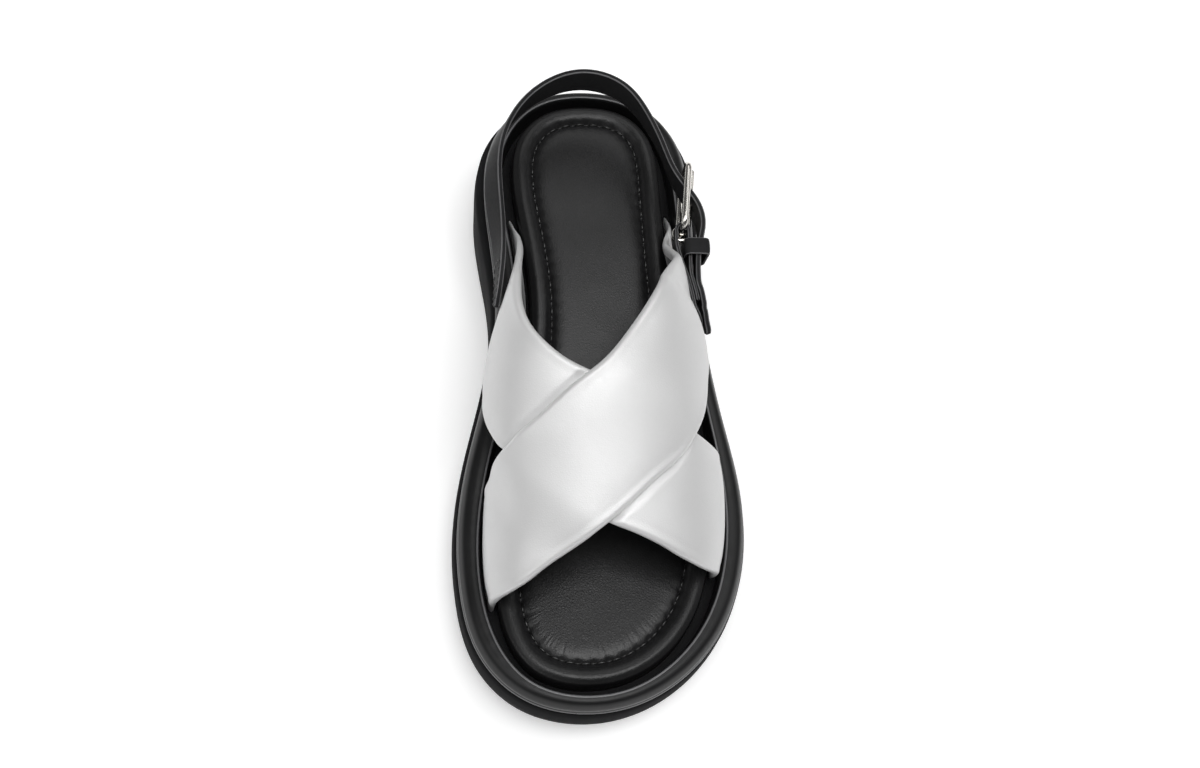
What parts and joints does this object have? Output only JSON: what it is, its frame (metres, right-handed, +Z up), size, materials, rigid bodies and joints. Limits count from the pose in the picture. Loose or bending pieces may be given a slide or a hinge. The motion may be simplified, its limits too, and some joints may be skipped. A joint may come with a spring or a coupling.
{
  "type": "crossed band sandal",
  "caption": "Left platform sandal with two crossed padded bands, a cushioned insole inside a rolled rim, a thick outsole and a heel strap held by a small buckle.",
  "frame": {"origin": "on the floor, under the middle of the shoe's box", "axes": "+X to the outer side of the left foot, +Y from toe to heel, +Z up"},
  "size_m": [0.1146, 0.2658, 0.0866],
  "materials": {
    "outsole": "matte moulded",
    "rim": "smooth, low sheen",
    "insole": "fine grain, soft sheen",
    "bands": "silver foil satin",
    "strap": "smooth, sealed edges",
    "buckle": "polished nickel"
  },
  "bodies": {
    "root": {"outsole": "outsole", "rim": "rim", "insole": "insole", "upper": "bands", "heel_strap": "strap", "buckle_tab": "strap", "keeper_loop": "strap", "buckle_frame": "buckle", "buckle_prong": "buckle"}
  },
  "joints": []
}
